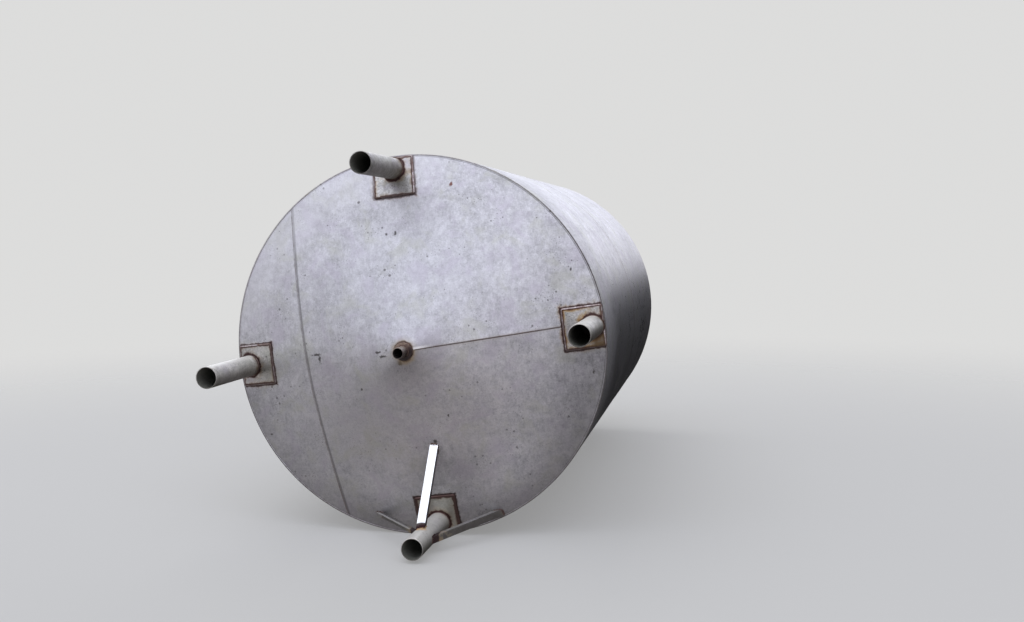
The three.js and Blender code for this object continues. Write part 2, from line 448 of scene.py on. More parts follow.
def pad(side, azimuth, plate_steel, weld_steel):
    """A pad of sheared plate, rolled to the cone, with a broken edge and a weld all round."""
    outline, inset = rounded_outline(0.0), rounded_outline(PAD_EDGE)
    centre, top = np.array([PAD_MIDDLE, 0.0]), GAP + PAD_WALL
    loops = [on_pad(centre + (outline - centre) * share, GAP) for share in np.linspace(0.06, 0.9, 8)]
    loops += [on_pad(outline, GAP), on_pad(outline, top - PAD_EDGE), on_pad(inset, top)]
    loops += [on_pad(centre + (inset - centre) * share, top) for share in np.linspace(0.94, 0.06, 14)]
    name, place = "leg_pad_" + side, rotated(azimuth)
    add_piece(name + "_plate", capped_solid(loops), plate_steel, name, place)

    outline = rounded_outline(0.0, per_side=60)
    ahead = np.roll(outline, -1, axis=0) - np.roll(outline, 1, axis=0)
    outward = np.column_stack([ahead[:, 1], -ahead[:, 0], np.zeros(len(ahead))])
    outward /= np.linalg.norm(outward, axis=1)[:, None]
    size, share = 0.0095, 0.42
    path = on_pad(outline + outward[:, :2] * size * share, GAP + PAD_WALL * share)
    weld = fillet(path, outward, size * 0.72, 0.0026, pitch=0.008, seed=azimuth)
    add_piece(name + "_weld", weld, weld_steel, place=place)


def tube(outer, inner, bottom, top_of, sides=96):
    """A pipe whose lower end is cut square with broken edges, and whose top follows top_of(plan)."""
    ring = polar(1.0, circle(sides))[:, :2]
    shares = np.linspace(0, 1, 14)

    def loop(radius, share):
        plan, low = ring * radius, bottom + PIPE_EDGE
        return np.column_stack([plan, low + (top_of(plan) - low) * share])

    def foot(radius):
        return np.column_stack([ring * radius, np.full(sides, bottom)])

    loops = [loop(inner, 1 - share) for share in shares]
    loops += [foot(inner + PIPE_EDGE), foot(outer - PIPE_EDGE)]
    return ring_solid(loops + [loop(outer, share) for share in shares])


def leg(side, azimuth, pipe_steel, weld_steel):
    """A leg pipe and the weld that holds it to its pad."""

    def under_pad(plan):
        return cone_face(np.hypot(plan[:, 0] + LEG_CIRCLE, plan[:, 1]), PAD_WALL + 2 * GAP)

    points, faces = tube(LEG_RADIUS, LEG_RADIUS - LEG_WALL, 0.0, under_pad)
    name, place = "leg_pipe_" + side, rotated(azimuth)
    add_piece(name + "_tube", (points + (LEG_CIRCLE, 0, 0), faces), pipe_steel, name, place)

    outward = polar(1.0, circle(180))
    size, share = 0.0065, 0.4
    plan = outward[:, :2] * (LEG_RADIUS + size * share) + (LEG_CIRCLE, 0)
    path = on_pad(plan, PAD_WALL + GAP + size * share)
    weld = fillet(path, outward, size * 0.75, 0.0024, seed=azimuth + 9)
    add_piece(name + "_weld", weld, weld_steel, place=place)


def outlet(pipe_node, collar_node, prefix, place, pipe_steel, weld_steel):
    """The pipe and the thick collar at the point of a cone."""

    def flat_top(plan):
        return np.full(len(plan), CONE_POINT + NOZZLE_INNER_REACH)

    pipe = tube(NOZZLE_RADIUS, NOZZLE_RADIUS - NOZZLE_WALL, CONE_POINT - NOZZLE_REACH, flat_top, 72)
    add_piece(pipe_node + "_pipe", pipe, pipe_steel, pipe_node, place)

    profile = (
        (COLLAR_HOLE, cone_face(COLLAR_HOLE, GAP)),
        (COLLAR_HOLE, COLLAR_FOOT + COLLAR_EDGE),
        (COLLAR_HOLE + COLLAR_EDGE, COLLAR_FOOT),
        (COLLAR_RADIUS - COLLAR_EDGE, COLLAR_FOOT),
        (COLLAR_RADIUS, COLLAR_FOOT + COLLAR_EDGE),
        (COLLAR_RADIUS, cone_face(COLLAR_RADIUS, GAP)),
    )
    turn = circle(96)
    ring = ring_solid([polar(radius, turn, height) for radius, height in profile])
    add_piece(collar_node + "_ring", ring, pipe_steel, collar_node, place)

    welds = []
    feet = ((NOZZLE_RADIUS, COLLAR_FOOT, 0.005), (COLLAR_RADIUS, cone_face(COLLAR_RADIUS), 0.006))
    for radius, height, size in feet:
        path = polar(radius + size * 0.4, turn, height - size * 0.4)
        welds.append(fillet(path, polar(1.0, turn), size * 0.75, 0.002, pitch=0.006, seed=radius))
    add_piece(prefix + "_nozzle_welds", merged(welds), weld_steel, place=place)


def angle_profile(size):
    """Section of a rolled angle iron: square heel, rounded toes and a fillet in the corner."""
    heel, toe, root, wall = 0.0006, 0.002, 0.0045, BRACE_WALL

    def arc(cx, cy, radius, start, end, steps=5):
        turn = np.radians(np.linspace(start, end, steps))
        return [(cx + radius * math.cos(t), cy + radius * math.sin(t)) for t in turn]

    points = arc(heel, heel, heel, 180, 270, 3)
    points += [(size * share, 0.0) for share in (0.35, 0.7, 1.0)]
    points += arc(size - toe, wall - toe, toe, 0, 90)
    points += [(size * 0.6, wall), (size * 0.35, wall)]
    points += arc(wall + root, wall + root, root, 270, 180)
    points += [(wall, size * 0.35), (wall, size * 0.6)]
    points += arc(wall - toe, size - toe, toe, 0, 90)
    points += [(0.0, size * share) for share in (1.0, 0.7, 0.35)]
    return np.array(points)


def brace_axes(side):
    """Both ends of a brace's outer corner, the direction along it, and those of its flanges."""
    _, start, end, flange_a, flange_b = BRACES[side]
    start = np.array(start) * MM
    end = np.array([*end, 0.0]) * MM
    end[2] = cone_face(math.hypot(end[0], end[1]))
    along = (end - start) / np.linalg.norm(end - start)

    def square(direction, *others):
        direction = np.array(direction, float)
        for other in (along, *others):
            direction = direction - (direction @ other) * other
        return direction / np.linalg.norm(direction)

    first = square(flange_a)
    return start, end, along, first, square(flange_b, first)


def brace(side, angle_steel, leg_weld, cone_weld):
    """An angle iron coped to the leg pipe at one end and to the cone at the other."""
    size, rows, tries, steps = BRACES[side][0], 24, 40, 12
    start, end, along, x, y = brace_axes(side)
    if np.cross(x, y) @ along < 0:
        x, y = y, x
    profile = angle_profile(size * MM)
    lines = start + profile[:, :1] * x + profile[:, 1:] * y

    flat = along[:2]
    near = lines[:, :2] - (0, LEG_CIRCLE)
    half = near @ flat
    inside = half**2 - flat @ flat * ((near**2).sum(1) - (LEG_RADIUS + GAP) ** 2)
    from_leg = (-half + np.sqrt(np.clip(inside, 0, None))) / (flat @ flat)
    to_cone = np.full(len(lines), np.linalg.norm(end - start))
    for _ in range(tries):
        here = lines + along * to_cone[:, None]
        gap = cone_face(np.hypot(here[:, 0], here[:, 1]), GAP) - here[:, 2]
        to_cone += gap / 0.9
    share = np.linspace(0, 1, rows)[:, None]
    reach = from_leg * (1 - share) + to_cone * share
    loops = lines + along * reach[..., None]
    name = "leg_brace_" + side
    add_piece(name + "_angle", capped_solid(loops), angle_steel, name)

    shares = np.linspace(0.05, 0.95, steps) * size * MM
    ends = ((0, 1.0, "leg", leg_weld), (rows - 1, -1.0, "cone", cone_weld))
    for row, toward, end_name, material in ends:
        welds = []
        for flange, normal, axis in ((x, -y, (1, 0)), (y, -x, (0, 1))):
            targets = np.outer(shares, axis)
            nearest = [np.argmin(np.linalg.norm(profile - target, axis=1)) for target in targets]
            depth = (loops[row][nearest] - lines[nearest]) @ along
            path = start + np.outer(shares, flange) + np.outer(depth, along) + normal * MM
            rise = np.tile(normal + along * toward * 0.7, (steps, 1))
            across = np.tile(along * toward - normal * 0.7, (steps, 1))
            welds.append(bead(path, across, rise, 0.0050, 0.0034, pitch=0.006, seed=size + row))
        add_piece(f"{name}_{end_name}_weld", merged(welds), material)


# Materials


def arithmetic(operation):
    """A method that runs an operation of the Math node on a field and what it is given."""
    return lambda field, *others: field.math(operation, *others)


class Field:
    """A value over the surface, held by a shader socket, with plain arithmetic."""

    def __init__(self, tree, socket):
        self.tree = tree
        self.socket = socket

    def math(self, operation, *others):
        node = add_node(self.tree, "Math", dict(enumerate((self, *others))))
        node.operation = operation
        return Field(self.tree, node.outputs[0])

    __add__ = arithmetic("ADD")
    __sub__ = arithmetic("SUBTRACT")
    __mul__ = arithmetic("MULTIPLY")
    __truediv__ = arithmetic("DIVIDE")
    __abs__ = arithmetic("ABSOLUTE")
    least = arithmetic("MINIMUM")
    most = arithmetic("MAXIMUM")

    def __rsub__(self, other):
        return self * -1.0 + other

    def ramp(self, low, high, start=0.0, end=1.0):
        """Goes smoothly from start to end as the value goes from low to high."""
        bounds = {"From Min": low, "From Max": high, "To Min": start, "To Max": end}
        node = add_node(self.tree, "MapRange", {"Value": self, **bounds})
        node.interpolation_type = "SMOOTHSTEP"
        return Field(self.tree, node.outputs["Result"])

    def fade(self, low, high, start=1.0):
        """Goes smoothly from start to nothing as the value goes from low to high."""
        return self.ramp(low, high, start, 0.0)


def feed(tree, socket, value):
    """Gives an input a field, the output of a node, or a plain number, vector or colour."""
    if isinstance(value, Field):
        value = value.socket
    if isinstance(value, bpy.types.NodeSocket):
        tree.links.new(value, socket)
    else:
        socket.default_value = (*value, 1.0) if socket.type == "RGBA" else value


def add_node(tree, kind, inputs):
    node = tree.nodes.new("ShaderNode" + kind)
    for name, value in inputs.items():
        feed(tree, node.inputs[name], value)
    return node


def axes(tree, place):
    split = add_node(tree, "SeparateXYZ", {0: place})
    return [Field(tree, split.outputs[k]) for k in range(3)]


def norm(*parts):
    """Length of a vector from its parts."""
    return reduce(Field.__add__, [part * part for part in parts]).math("SQRT")


def mixed(tree, first, second, share):
    """A colour that goes from first to second as share goes from 0 to 1."""
    node = tree.nodes.new("ShaderNodeMix")
    node.data_type = "RGBA"
    colours = [socket for socket in node.inputs if socket.type == "RGBA"]
    for socket, value in zip((node.inputs[0], *colours), (share, first, second)):
        feed(tree, socket, value)
    return next(socket for socket in node.outputs if socket.type == "RGBA")


def shaded(colour, factor):
    return tuple(channel * factor for channel in colour)


# Colours of bare steel, of what the welding leaves on it from far to near, of dirt, and of painted light
# and shade
PLATE = (0.640, 0.634, 0.660)
PAD_PLATE = (0.560, 0.548, 0.530)
PIPE = (0.600, 0.585, 0.548)
BRIGHT_ANGLE = (0.930, 0.935, 0.930)
SATIN_ANGLE = (0.540, 0.520, 0.500)
# Painted highlight beside the closing seam of each cone
SEAM_HIGHLIGHT = (0.960, 0.940, 0.930)
OLIVE = (0.585, 0.590, 0.515)
LILAC = (0.600, 0.555, 0.640)
STRAW = (0.520, 0.440, 0.300)
GOLD = (0.800, 0.520, 0.240)
AMBER = (0.400, 0.235, 0.090)
TAN = (0.370, 0.275, 0.215)
BROWN = (0.150, 0.085, 0.062)
BURNT_CORNER = (0.120, 0.082, 0.047)
# Painted shade on the sides of pad welds that face +Y or the middle
WELD_SHADE = (0.085, 0.060, 0.052)
BRACED_WELD = (0.095, 0.060, 0.058)
MAROON = (0.062, 0.030, 0.032)
RUST = (0.180, 0.050, 0.030)
# Darker, more olive tone of the braced leg's pad
DARK_OLIVE = (0.290, 0.290, 0.245)
# Painted shade inside the leg pipes
BORE_SHADE = (0.195, 0.195, 0.170)
# Painted shade on the faces of the braces that are not lit
ANGLE_SHADE = (0.094, 0.085, 0.079)
# Painted shade on the side of the leg pipes towards +Y
PIPE_SHADE = (0.088, 0.078, 0.064)
# Dirt and marks, and also painted shade on the cones, pads and shell
GRIME_AND_SHADE = (0.090, 0.082, 0.080)
# Painted shade below and inside the outlet pipes
DEEP_SHADE = (0.022, 0.018, 0.017)

# How metallic the steel is that has stayed matt from pickling
DULL = 0.35

# Heat tint: colour, the distances from the weld in m between which it fades, how strong it is, and
# whether it spreads as unevenly as the heat did
HEAT_TINTS = (
    (STRAW, 0.012, 0.036, 0.65, True),
    (AMBER, 0.009, 0.024, 0.80, True),
    (BROWN, 0.006, 0.013, 0.75, False),
    (MAROON, 0.004, 0.009, 0.90, False),
)

# Two directions of fine scratches: size along each axis in m, shift, turn in degrees, and the
# bounds that pick them out of the noise
SCRATCHES = (
    ((0.30, 0.006, 0.006), ORIGIN, (0, 15, 25), (0.70, 0.74)),
    ((0.22, 0.005, 0.005), (4, 0, 2), (0, -50, -40), (0.71, 0.75)),
)

# Steel of each weld: crowns, hollows, and how browned it is
WELD_STEELS = {
    "plain": ((0.65, 0.645, 0.67), (0.45, 0.43, 0.44), 0.25),
    "brown": ((0.22, 0.19, 0.18), (0.12, 0.095, 0.09), 0.5),
    "burnt": ((0.60, 0.555, 0.565), (0.30, 0.22, 0.215), 0.70),
    "golden": ((0.95, 0.72, 0.40), (0.62, 0.34, 0.13), 0.3),
    "dark": ((0.17, 0.125, 0.11), (0.045, 0.030, 0.030), 0.5),
}

# Steel of each brace: colour, contrast, how metallic, size and glow of its heat tint, the flange that
# is left lit without painted shade, and the distance from the corner in m beyond which that is lit
BRACE_STEELS = {
    # The right brace's colour is a darker copy of the left one's: painted shade
    "right": (shaded(SATIN_ANGLE, 0.65), 1.4, 0.4, 2.4, 0.6, 1, 0.004),
    "left": (shaded(SATIN_ANGLE, 0.87), 1.4, 0.4, 2.4, 0.6, 1, 0.022),
    "inner": (BRIGHT_ANGLE, 0.5, 1.0, 1.8, 0.0, 0, -1.0),
}

# Dark marks on the bottom cone by colour: place in plan and half size, in mm
MARKS = {
    GRIME_AND_SHADE: (
        (-67, -716, 8, 10), (-8, -717, 8, 16), (-612, -28, 30, 8), (-592, 0, 9, 32), (-176, -8, 24, 9),
        (-146, 20, 28, 8), (1092, 274, 9, 15), (-326, 213, 9, 9), (195, 431, 8, 9), (-1045, 460, 11, 8),
        (1031, -362, 7, 9), (82, 586, 17, 14), (-238, -938, 9, 9), (-33, 70, 13, 16),
    ),
    RUST: ((361, -976, 12, 15),),
}


class Finish:
    """One material, built up as a colour, a roughness and a normal on a metal shader."""

    def __init__(self, name, metallic=1.0):
        self.material = bpy.data.materials.new(name)
        self.material.use_nodes = True
        self.tree = self.material.node_tree
        self.shader = self.tree.nodes["Principled BSDF"]
        feed(self.tree, self.shader.inputs["Metallic"], metallic)
        self.place = add_node(self.tree, "TexCoord", {}).outputs["Object"]
        self.x, self.y, self.z = axes(self.tree, self.place)
        self.radius = norm(self.x, self.y)

    def texture(self, kind, place, inputs):
        """A texture from its scale, how many times longer along each axis, shift and turn."""
        scale, long, shift, turn = place
        turn = [math.radians(angle) for angle in turn]
        inner = {"Vector": self.place, "Scale": long, "Location": shift, "Rotation": turn}
        spot = add_node(self.tree, "Mapping", inner)
        spot.vector_type = "TEXTURE"
        return add_node(self.tree, kind, {"Vector": spot.outputs[0], "Scale": scale, **inputs})

    def noise(self, scale, detail=3.0, rough=0.6, bend=0.0, long=EVEN, shift=ORIGIN, turn=ORIGIN):
        inputs = {"Detail": detail, "Roughness": rough, "Distortion": bend}
        node = self.texture("TexNoise", (scale, long, shift, turn), inputs)
        return Field(self.tree, node.outputs["Fac"])

    def cells(self, scale, shift):
        node = self.texture("TexVoronoi", (scale, EVEN, shift, ORIGIN), {})
        return Field(self.tree, node.outputs["Distance"])

    def toward(self, *direction):
        """How far along a direction, given by its parts along X and Y, or X, Y and Z."""
        parts = zip((self.x, self.y, self.z), direction)
        return reduce(Field.__add__, [axis * float(share) for axis, share in parts])

    def paint(self, colour, share):
        self.colour = mixed(self.tree, self.colour, colour, share)

    def bump(self, height, strength, distance, below=None):
        inputs = {"Strength": strength, "Distance": distance, "Height": height}
        node = add_node(self.tree, "Bump", inputs)
        if below is not None:
            feed(self.tree, node.inputs["Normal"], below)
        return node.outputs["Normal"]

    def mottle(self, bare=PLATE, contrast=1.0, grain=EVEN, roughness=0.40):
        """Starts with the uneven grey of mill-finished steel, its stains, dust and scratches."""
        broad = self.noise(2.4, 4.0)
        blotch = self.noise(9.0, 5.0, 0.65, 0.5, shift=(5, 3, 1))
        patch = self.noise(27.0, 5.0, 0.68, 0.3, shift=(1, 2, 3))
        fine = self.noise(110.0, shift=(3, 1, 4))
        streak = self.noise(70.0, long=grain, shift=(2, 7, 1))
        tone = (broad - 0.5) * 0.50 + (blotch - 0.5) * 0.60 + (patch - 0.5) * 0.85 + (fine - 0.5) * 0.60
        tone = (tone + (streak - 0.5) * 0.40) * contrast
        self.colour = mixed(self.tree, shaded(bare, 0.5), shaded(bare, 1.5), tone + 0.5)
        level = bare[1] / PLATE[1]
        hue = self.noise(5.5, 3.0, 0.6, 0.4, shift=(7, 2, 5))
        self.paint(shaded(OLIVE, level), hue.ramp(0.50, 0.68, 0.0, 0.42))
        self.paint(shaded(LILAC, level), hue.fade(0.32, 0.48, 0.42))
        size = self.noise(6.0, 2.0, 0.5, shift=(1, 9, 3)).ramp(0.42, 0.72, 0.02, 0.20)
        ragged = size + (fine + patch - 1.0) * 0.22
        dirt = (ragged - self.cells(21.0, (3, 8, 1))).ramp(0.0, 0.07)
        dust = (ragged * 1.4 - self.cells(64.0, (9, 2, 6))).ramp(0.0, 0.10)
        lines = [
            self.noise(1.0, 2.0, 0.5, long=long, shift=shift, turn=turn).ramp(*bounds)
            for long, shift, turn, bounds in SCRATCHES
        ]
        scratch = reduce(Field.most, lines)
        self.paint(GRIME_AND_SHADE, dirt * 0.62)
        self.paint(GRIME_AND_SHADE, dust * 0.45)
        self.paint(shaded(bare, 1.35), scratch * 0.35)
        self.roughness = tone * -0.35 + roughness + dirt * 0.15 - scratch * 0.08
        ripple = self.bump(blotch, 0.12, 0.012)
        self.normal = self.bump(fine + streak + scratch * -0.6, 0.14, 0.0010, below=ripple)

    def tint(self, distance, size=1.0, strength=1.0, glow=1.0):
        """The marks of welding over a distance in m: scale at the weld, then brown and straw."""
        wander = self.noise(30.0, 4.0, shift=(4, 4, 1)).ramp(0.28, 0.72, 0.50, 1.50)
        hot = self.noise(9.0, 2.0, 0.5, shift=(8, 3, 6)).ramp(0.40, 0.62, 0.15, 1.0) * glow
        away = distance.most(0.0) / (wander * size)
        for colour, near, far, share, spreads in HEAT_TINTS:
            self.paint(colour, away.fade(near, far, share) * (hot if spreads else strength))
        self.roughness = self.roughness + away.fade(0.005, 0.016, 0.12)

    def line(self, from_axis, bore, colour):
        """Paints shade over the inside of a pipe, making the bore darker."""
        inside = from_axis.fade(bore + 0.0002, bore + 0.0008)
        self.paint(colour, inside * 0.95)
        self.roughness = self.roughness + inside * 0.2

    def done(self):
        ends = {"Base Color": self.colour, "Roughness": self.roughness, "Normal": self.normal}
        for name, value in ends.items():
            feed(self.tree, self.shader.inputs[name], value)
        return self.material


def seam_distances(finish, seams, flip):
    """Distances from the chord seam and from the closing seam of a cone."""
    c, s = math.cos(seams[0]), math.sin(seams[0])
    turn = finish.toward(-s, c * flip).math("ARCTAN2", finish.toward(c, s * flip))
    chord = finish.radius * (turn * CONE_COS).math("COSINE") - SEAM_DISTANCE
    c, s = math.cos(seams[1]), math.sin(seams[1])
    behind = finish.toward(c, s * flip).fade(-0.001, 0.0)
    return chord, abs(finish.toward(-s, c * flip)) + behind


def marked(finish):
    """Adds the dark marks, each with a ragged edge."""
    ragged = finish.noise(80.0).ramp(0.25, 0.75, 0.45, 1.55)
    for colour, marks in MARKS.items():
        spots = []
        for x, y, wide, high in marks:
            across, down = (finish.x - x * MM) / (wide * MM), (finish.y - y * MM) / (high * MM)
            spots.append((norm(across, down) / ragged).fade(0.5, 1.2))
        finish.paint(colour, reduce(Field.most, spots) * 0.88)


def pad_frame(finish):
    """For the nearest of the four legs: distances outwards and sideways in plan."""
    return abs(finish.x).most(abs(finish.y)), abs(finish.x).least(abs(finish.y))


def warmth(finish):
    """How far straw and amber spread, which the welder left uneven: most on the right leg."""
    front, back = finish.y.fade(-0.9, -0.5, 0.12), finish.y.ramp(0.5, 0.9, 0.0, 0.18)
    return finish.x.ramp(0.5, 0.9, 0.32, 1.0) + front - back


def under_tank(finish):
    """What only the bottom cone has: the tint and the marks round its pads, painted shade towards the
    side that it lay on and round the braced leg, a painted highlight on the rim above, and a darker
    patch below the outlet."""
    x, y, radius = finish.x, finish.y, finish.radius
    out, beside = pad_frame(finish)
    edge = (abs(out - PAD_MIDDLE) - PAD_DEPTH).most(beside - PAD_HALF) - 0.007
    cool = y.fade(-1.0, -0.7) * x.ramp(-0.13, 0.05, 0.50, 0.20) * -1.0 + 0.95
    finish.tint(edge, 1.0, cool, warmth(finish) * 0.4)
    marked(finish)
    finish.roughness = finish.roughness + radius.ramp(0.55, 1.00, 0.0, 0.13)
    # Painted shade near the rim towards -X and +Y
    low_left = finish.toward(-0.80, 0.60).ramp(0.55, 0.95, 0.0, 0.20) * y.ramp(0.08, 0.22)
    finish.paint(GRIME_AND_SHADE, low_left)
    # Painted shade near the rim on the side towards +Y, reaching further in towards +X
    low_rim = y.ramp(-0.02, 0.20) * x.ramp(-0.9, -0.3, 0.35, 1.0)
    start = finish.toward(-0.5, 1.0).ramp(0.0, 0.6, 0.60, 0.95)
    finish.paint(GRIME_AND_SHADE, radius.ramp(start, 1.20, 0.0, 0.55) * low_rim)
    # Painted shadow round the braced leg
    finish.paint(GRIME_AND_SHADE, norm(x - 0.12, y - 0.90).fade(0.05, 0.42, 0.33))
    # Painted highlight on the rim towards -Y and -X
    high_rim = finish.toward(-0.50, -0.87).ramp(0.62, 0.95)
    finish.paint(shaded(PLATE, 1.35), radius.ramp(0.86, 1.10, 0.0, 0.35) * high_rim)
    # Darker patch below the outlet, towards +X and +Y
    below_outlet = finish.toward(0.50, 0.87).ramp(0.0, 0.04)
    finish.paint(GRIME_AND_SHADE, radius.fade(COLLAR_RADIUS, 0.34, 0.38) * below_outlet)


def cone_steel(name, metallic, seams, flip):
    """Cone plate with the tint of its own seams and collar, and a painted highlight beside its closing
    seam.
    """
    finish = Finish(name, metallic)
    x, y = finish.x, finish.y
    finish.mottle(contrast=y.ramp(-0.5, 0.4, 0.80, 1.12), grain=(1, 3, 1))
    chord, closing = seam_distances(finish, seams, flip)
    finish.paint(GRIME_AND_SHADE, abs(chord + 0.007).fade(0.004, 0.013, 0.55))
    finish.paint(STRAW, closing.fade(0.006, 0.020, 0.15))
    finish.paint(GRIME_AND_SHADE, closing.fade(0.003, 0.006, 0.85))
    # Dark line along the inner edge of the rim weld, stronger towards +X and -Y
    rim = abs(finish.radius - (SHELL_INNER - 0.0085))
    dirt_and_shade = finish.toward(0.80, -0.60 * flip).ramp(-0.4, 0.9, 0.10, 0.50)
    finish.paint(GRIME_AND_SHADE, rim.fade(0.0015, 0.0035) * dirt_and_shade)
    if flip > 0:
        under_tank(finish)
    from_collar = finish.radius - COLLAR_RADIUS
    finish.tint(from_collar - 0.002, 1.0, 0.9, 0.5)
    finish.paint(shaded(STRAW, 0.75), from_collar.fade(0.005, 0.050, 0.35))
    # Painted highlight beside the closing seam, near the outlet
    beyond_seam = finish.toward(0.0227, flip).ramp(-0.003, -0.001)
    beside = (finish.toward(0.035, flip) + 0.004).ramp(-0.016, -0.004) - beyond_seam
    finish.paint(SEAM_HIGHLIGHT, beside.most(0.0) * x.ramp(0.050, 0.070) * x.fade(0.080, 0.190) * 0.8)
    return finish.done()


def shell_steel():
    """Rolled plate with faint upright streaks and the tint of its girth and upright welds."""
    finish = Finish("shell_steel")
    z = finish.z
    finish.mottle(contrast=0.8, grain=(1, 1, 4), roughness=0.33)
    runs = finish.noise(1.0, 4.0, 0.6, 0.2, long=(0.06, 0.06, 1.6), shift=(1, 4, 8)).ramp(0.52, 0.72)
    finish.paint(shaded(GRIME_AND_SHADE, 2.2), runs * 0.10)
    # Painted shade on the side of the shell towards +Y
    finish.paint(shaded(GRIME_AND_SHADE, 1.5), finish.y.ramp(0.0, 0.6, 0.0, 0.30))
    lower = z.fade(GIRTH - 0.001, GIRTH)
    weld = abs(z - GIRTH)
    for seam, here in ((LOWER_SEAM, lower), (UPPER_SEAM, 1.0 - lower)):
        across = abs(finish.toward(-math.sin(seam), math.cos(seam)))
        weld = weld.least(across + (1.0 - here))
    ends = (z - SHELL_BASE).least(SHELL_TOP - z)
    hot = finish.noise(11.0, 2.0, 0.5, shift=(2, 2, 6)).ramp(0.35, 0.65, 0.3, 1.0)
    finish.paint(STRAW, weld.fade(0.008, 0.040, 0.42) * hot)
    finish.paint(BROWN, weld.fade(0.004, 0.013, 0.42) * hot)
    finish.paint(STRAW, ends.fade(0.006, 0.030, 0.20) * hot)
    shaded_side = finish.toward(0.2, 0.8).ramp(-0.75, -0.10, 0.10, 0.80)
    finish.paint(GRIME_AND_SHADE, ends.fade(0.0010, 0.0030) * shaded_side)
    finish.roughness = finish.roughness + z.fade(SHELL_BASE, SHELL_BASE + 0.9, 0.13)
    return finish.done()


def pad_steel():
    """Plate of the pads, tinted inwards from its weld and outwards from that of the pipe."""
    finish = Finish("pad_steel")
    x, y = finish.x, finish.y
    finish.mottle(PAD_PLATE, 1.5)
    # Darker and more olive on the pad of the braced leg
    finish.paint(DARK_OLIVE, y.ramp(0.6, 0.9, 0.0, 0.60))
    out, beside = pad_frame(finish)
    edge = (PAD_DEPTH - abs(out - PAD_MIDDLE)).least(PAD_HALF - beside) - 0.002
    warm = warmth(finish)
    finish.tint(edge / y.ramp(0.6, 0.9, 0.85, 1.25), 1.0, 0.85, warm)
    ring = norm(out - LEG_CIRCLE, beside) - LEG_RADIUS
    finish.tint(ring - 0.004, 1.5, 1.0, warm * 1.2)
    finish.paint(BURNT_CORNER, x.ramp(1.06, 1.13) * y.ramp(0.01, 0.06) * 0.85)
    # Painted shade on the pad inside the bore of the pipe
    finish.paint(GRIME_AND_SHADE, ring.fade(-0.010, -0.004, 0.8))
    return finish.done()


def pipe_steel():
    """Drawn pipe, slightly yellow and half matt, with stains, a painted highlight on its -Y side, painted
    shade on its +Y side and in its bore, and scale at its weld.
    """
    finish = Finish("pipe_steel", DULL)
    x, y, z = finish.x, finish.y, finish.z
    finish.mottle(PIPE, 1.6, (6, 6, 1), 0.46)
    out, beside = pad_frame(finish)
    pad_face = finish.radius * CONE_TAN + (CONE_POINT - PAD_WALL / CONE_COS)
    finish.tint(pad_face - z - 0.006, 1.3)
    stains = finish.noise(14.0, 4.0, 0.65, long=(1, 1, 3), shift=(2, 5, 0)).ramp(0.5, 0.75)
    finish.paint(shaded(PIPE, 0.45), stains * 0.5)
    axis = y.ramp(0.5, 0.9, 0.0, LEG_CIRCLE) - y.fade(-0.9, -0.5, LEG_CIRCLE)
    height = y - axis
    braced = y.ramp(0.5, 0.9)
    # Painted highlight along the pipe's side towards -Y, and painted light over the whole braced pipe
    finish.paint(shaded(PIPE, 1.4), height.fade(-0.064, -0.040, 0.8).most(braced * 0.55))
    # Painted shade on the pipe's side towards +Y, a little less on the left leg
    left_leg = x.fade(-0.9, -0.5, 0.015)
    finish.paint(PIPE_SHADE, (height - left_leg).ramp(-0.060, 0.034, 0.0, 0.86))
    spotted = finish.noise(90.0, shift=(6, 1, 1)).ramp(0.40, 0.55, 0.35, 1.0)
    brace_foot = norm(x - 0.004, y - 1.054, z - 0.214)
    finish.paint(GOLD, brace_foot.fade(0.024, 0.042, 0.95) * spotted)
    # Painted shade inside the bore
    finish.line(norm(out - LEG_CIRCLE, beside), LEG_RADIUS - LEG_WALL, BORE_SHADE)
    return finish.done()


def nozzle_steel(name, flip):
    """Outlet pipe and collar, browned by welding from the collar down, with painted shade below and
    inside.
    """
    finish = Finish(name, DULL)
    finish.mottle(shaded(PIPE, 0.60), 1.8, (6, 6, 1), 0.36)
    height = finish.z if flip > 0 else ROOF_TOP - finish.z
    finish.tint(COLLAR_FOOT - height - 0.003, 1.8)
    browned = finish.noise(30.0, 4.0).ramp(0.38, 0.66, 0.35, 1.0)
    finish.paint(TAN, browned * height.ramp(COLLAR_FOOT - 0.100, COLLAR_FOOT - 0.005, 0.75, 0.95))
    # Painted shade in maroon on the side of the outlet towards +X and +Y
    maroon_shade = finish.toward(0.55, 0.83 * flip).ramp(-0.026, 0.022, 0.0, 0.95)
    maroon_shade = maroon_shade * browned.ramp(0.3, 0.9, 0.80, 1.0)
    maroon_shade = maroon_shade * height.ramp(COLLAR_FOOT - 0.120, COLLAR_FOOT - 0.010, 0.80, 1.0)
    finish.paint(MAROON, maroon_shade)
    # Painted shade on the side of the outlet towards +Y
    underside_shade = finish.toward(0.35, 0.94 * flip).ramp(-0.014, 0.030, 0.0, 0.85)
    finish.paint(DEEP_SHADE, underside_shade * browned.ramp(0.3, 0.9, 0.6, 1.0))
    # Painted shade inside the bore
    finish.line(finish.radius, NOZZLE_RADIUS - NOZZLE_WALL, DEEP_SHADE)
    return finish.done()


